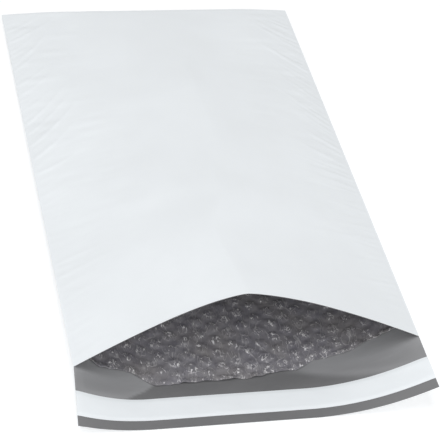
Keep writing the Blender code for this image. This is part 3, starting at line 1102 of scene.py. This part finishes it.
def grey_film(mailer):
    """The grey side of the film, which shows on the flap and round the mouth, with painted light making
    it paler at the flap's sides and free end.
    """
    look = mailer.film
    finish = Finish("grey_film")
    finish.set(IOR=1.5)
    clouds = finish.noise((40.0, 90.0, 40.0), detail=3.0)
    roughness = look.inside_roughness
    body = finish.clouded(clouds, look.inside, dimming=0.94)
    # Painted light: the grey is mixed toward a paler colour by the share of painted light on each point
    painted_share = finish.node("ShaderNodeAttribute", attribute_name="painted_light").outputs["Fac"]
    finish.feed("Base Color", finish.mixed(painted_share, body, look.painted_light))
    finish.feed("Roughness", finish.between(clouds, roughness - 0.05, roughness + 0.05))
    streaks = finish.noise((70.0, 420.0, 70.0), detail=2.0, distortion=0.4)
    grain = finish.noise((1800.0, 1800.0, 1800.0), detail=1.0)
    normal = finish.bump(streaks, distance=0.00008)
    finish.feed("Normal", finish.bump(grain, distance=0.00001, under=normal))
    return finish.material


def bubble_film(mailer):
    """The dark glossy lining: mottled, browner in patches, with painted highlights: glints on its bubble
    tops and pale lines along its creases.
    """
    look = mailer.lining
    finish = Finish("bubble_film")
    finish.set(IOR=1.45, Coat_Weight=1.0, Coat_Roughness=0.12, Coat_IOR=1.5)
    roughness = look.roughness
    crumple = finish.node("ShaderNodeAttribute", attribute_name="crumple").outputs["Fac"]
    mottle = finish.noise((260.0, 200.0, 260.0), detail=4.0, roughness=0.6)
    finish.feed("Roughness", finish.between(mottle, roughness - 0.08, roughness + 0.08))

    body = finish.mixed(finish.between(mottle, 0.0, 1.0), look.dark, look.light)
    brown = finish.noise((34.0, 40.0, 34.0), detail=2.0)
    body = finish.mixed(finish.between(brown, 0.0, 0.28, dark=0.48, bright=0.66), body, look.warm)

    # Painted highlights: near-white glints on the bubble tops and pale lines along the folds stand in
    # for reflections of the lamps
    tops = finish.between(crumple, 0.05, 1.0, dark=0.50, bright=0.85)
    patches = finish.noise((420.0, 300.0, 420.0), detail=2.0)
    patches = finish.between(patches, 0.0, 1.0, dark=0.46, bright=0.53)
    creases = finish.lines((380.0, 150.0, 380.0), width=0.036)
    creases = finish.product(creases, finish.product(tops, patches))
    folds = finish.lines((150.0, 55.0, 150.0), width=0.016)
    painted_glints = finish.between(creases, 0.0, 1.0, dark=0.0, bright=0.8)
    painted_sheen = finish.between(folds, 0.0, 0.30, dark=0.0, bright=1.0)
    body = finish.mixed(painted_glints, body, look.painted_highlight)
    finish.feed("Base Color", finish.mixed(painted_sheen, body, look.painted_highlight))

    normal = finish.bump(creases, distance=0.00012)
    normal = finish.bump(folds, distance=0.00015, under=normal)
    finish.feed("Normal", normal)
    finish.feed("Coat Normal", finish.facets(normal, crumple, look))
    return finish.material


def liner_film(mailer):
    """The smooth white release liner."""
    look = mailer.strip
    finish = Finish("liner_film")
    finish.set(IOR=1.5)
    clouds = finish.noise((60.0, 120.0, 60.0), detail=3.0)
    roughness = look.liner_roughness
    finish.feed("Base Color", finish.clouded(clouds, look.liner, dimming=0.985))
    finish.feed("Roughness", finish.between(clouds, roughness - 0.03, roughness + 0.05))
    grain = finish.noise((1100.0, 1500.0, 1100.0), detail=2.0)
    finish.feed("Normal", finish.bump(grain, distance=0.00001))
    return finish.material


def adhesive(mailer):
    """The tacky amber hot-melt band."""
    finish = Finish("adhesive")
    finish.set(Roughness=0.25, IOR=1.48)
    clouds = finish.noise((150.0, 500.0, 150.0), detail=3.0)
    finish.feed("Base Color", finish.clouded(clouds, mailer.strip.adhesive, dimming=0.8))
    finish.feed("Normal", finish.bump(clouds, distance=0.00008))
    return finish.material


def seen_directly(tree):
    """1 for rays that reach the camera directly, or through a mirror or glass, and 0 for others."""
    path = tree.nodes.new("ShaderNodeLightPath")
    total = path.outputs["Is Camera Ray"]
    for name in ("Is Glossy Ray", "Is Transmission Ray"):
        either = tree.nodes.new("ShaderNodeMath")
        either.operation = "MAXIMUM"
        tree.links.new(total, either.inputs[0])
        tree.links.new(path.outputs[name], either.inputs[1])
        total = either.outputs["Value"]
    return total


def build_floor(studio):
    """A wide pale floor that shows the camera a little light of its own, and keeps its shadows."""
    bpy.ops.mesh.primitive_plane_add(size=FLOOR_SIZE, location=(0.0, 0.0, -FLOOR_DROP))
    floor = bpy.context.object
    floor.name = "floor"
    material = bpy.data.materials.new("floor")
    material.use_nodes = True
    tree = material.node_tree
    tree.nodes.clear()
    seen = seen_directly(tree)
    plain = tree.nodes.new("ShaderNodeBsdfDiffuse")
    plain.inputs["Color"].default_value = (*studio.floor, 1.0)
    dimmed = tree.nodes.new("ShaderNodeBsdfDiffuse")
    dimmed.inputs["Color"].default_value = (*[channel * FLOOR_DIMMED for channel in studio.floor], 1.0)
    glow = tree.nodes.new("ShaderNodeEmission")
    glow.inputs["Strength"].default_value = studio.floor_glow
    bright = tree.nodes.new("ShaderNodeAddShader")
    tree.links.new(dimmed.outputs["BSDF"], bright.inputs[0])
    tree.links.new(glow.outputs["Emission"], bright.inputs[1])
    pick = tree.nodes.new("ShaderNodeMixShader")
    tree.links.new(seen, pick.inputs["Fac"])
    tree.links.new(plain.outputs["BSDF"], pick.inputs[1])
    tree.links.new(bright.outputs["Shader"], pick.inputs[2])
    output = tree.nodes.new("ShaderNodeOutputMaterial")
    tree.links.new(pick.outputs["Shader"], output.inputs["Surface"])
    floor.data.materials.append(material)
    return floor


def build_sky(studio):
    """Even light from all round, which the camera sees as white."""
    world = bpy.data.worlds.new("studio")
    world.use_nodes = True
    bpy.context.scene.world = world
    tree = world.node_tree
    background = tree.nodes["Background"]
    background.inputs["Color"].default_value = (1.0, 1.0, 1.0, 1.0)
    strength = tree.nodes.new("ShaderNodeMapRange")
    strength.inputs["To Min"].default_value = studio.sky
    strength.inputs["To Max"].default_value = 1.0
    tree.links.new(seen_directly(tree), strength.inputs["Value"])
    tree.links.new(strength.outputs["Result"], background.inputs["Strength"])


def add_lamp(studio, name, azimuth, elevation, size, light):
    """A square lamp that faces the mailer from a direction in degrees, turned right from +Y."""
    turn, rise = math.radians(azimuth), math.radians(elevation)
    level = math.cos(rise)
    toward = Vector((math.sin(turn) * level, math.cos(turn) * level, math.sin(rise)))
    lamp = bpy.data.lights.new(name, "AREA")
    lamp.shape = "SQUARE"
    lamp.size = size
    lamp.energy = light * (math.pi * studio.lamp_distance) ** 2
    item = bpy.data.objects.new(name, lamp)
    item.location = toward * studio.lamp_distance
    item.rotation_euler = toward.to_track_quat("Z", "Y").to_euler()
    bpy.context.scene.collection.objects.link(item)


def add_camera(studio):
    """The camera, at the angle from which the mouth is seen."""
    data = bpy.data.cameras.new("camera")
    data.lens = studio.camera_lens
    camera = bpy.data.objects.new("camera", data)
    turn = Matrix.Rotation(-studio.camera_azimuth, 4, "Z")
    turn = turn @ Matrix.Rotation(math.pi / 2 - studio.camera_fall, 4, "X")
    turn = turn @ Matrix.Rotation(studio.camera_roll, 4, "Z")
    camera.matrix_world = Matrix.Translation(studio.camera_place) @ turn
    bpy.context.scene.collection.objects.link(camera)
    bpy.context.scene.camera = camera


class MAILER_OT_outer_film(Operator):
    """Build the folded web of film with its flap"""

    bl_idname = "mailer.outer_film"
    bl_label = "Outer film"

    def execute(self, context):
        film = build_film(context.scene.bubble_mailer)
        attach(film, "root")
        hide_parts("outer_film")
        return {"FINISHED"}


class MAILER_OT_bubble_lining(Operator):
    """Build the bubble film inside the pocket"""

    bl_idname = "mailer.bubble_lining"
    bl_label = "Bubble lining"

    def execute(self, context):
        lining = build_lining(context.scene.bubble_mailer)
        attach(lining, "root")
        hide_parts("bubble_lining")
        return {"FINISHED"}


class MAILER_OT_closing_strip(Operator):
    """Build the adhesive and its release liner on the flap"""

    bl_idname = "mailer.closing_strip"
    bl_label = "Closing strip"

    def execute(self, context):
        liner, band = build_strips(context.scene.bubble_mailer)
        for piece, node in ((liner, "release_liner"), (band, "adhesive_strip")):
            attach(piece, "root")
            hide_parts(node)
        return {"FINISHED"}


class MAILER_OT_studio(Operator):
    """Build the floor, the light and the camera"""

    bl_idname = "mailer.studio"
    bl_label = "Studio"

    def execute(self, context):
        studio = context.scene.bubble_mailer.studio
        build_floor(studio)
        build_sky(studio)
        for name, azimuth, elevation, size, setting in LAMPS:
            add_lamp(studio, name, azimuth, elevation, size, getattr(studio, setting))
        add_camera(studio)
        context.scene.view_settings.view_transform = "Standard"
        return {"FINISHED"}


class MAILER_PT_pieces(Panel):
    """The mailer's pieces and settings in the sidebar"""

    bl_label = "Bubble Mailer"
    bl_space_type = "VIEW_3D"
    bl_region_type = "UI"
    bl_category = "Mailer"

    def draw(self, context):
        mailer = context.scene.bubble_mailer
        for operator in OPERATORS:
            self.layout.operator(operator.bl_idname)
        for group in (mailer.form, mailer.film, mailer.lining, mailer.strip, mailer.studio):
            box = self.layout.box()
            for name in group.__annotations__:
                box.prop(group, name)


GROUPS = (MailerForm, FilmLook, LiningLook, StripLook, StudioLook, MailerSettings)
OPERATORS = (
    MAILER_OT_outer_film,
    MAILER_OT_bubble_lining,
    MAILER_OT_closing_strip,
    MAILER_OT_studio,
)


def register():
    """Makes the settings, operators and panel known to Blender."""
    for kind in (*GROUPS, *OPERATORS, MAILER_PT_pieces):
        bpy.utils.register_class(kind)
    bpy.types.Scene.bubble_mailer = PointerProperty(
        type=MailerSettings, name="Bubble mailer", description="Sizes and colours of the mailer"
    )


def unregister():
    """Takes the settings, operators and panel out again."""
    del bpy.types.Scene.bubble_mailer
    for kind in reversed((*GROUPS, *OPERATORS, MAILER_PT_pieces)):
        bpy.utils.unregister_class(kind)


def main():
    """Builds every piece and the stage."""
    register()
    bpy.ops.mailer.outer_film()
    bpy.ops.mailer.bubble_lining()
    bpy.ops.mailer.closing_strip()
    bpy.ops.mailer.studio()


if __name__ == "__main__":
    main()
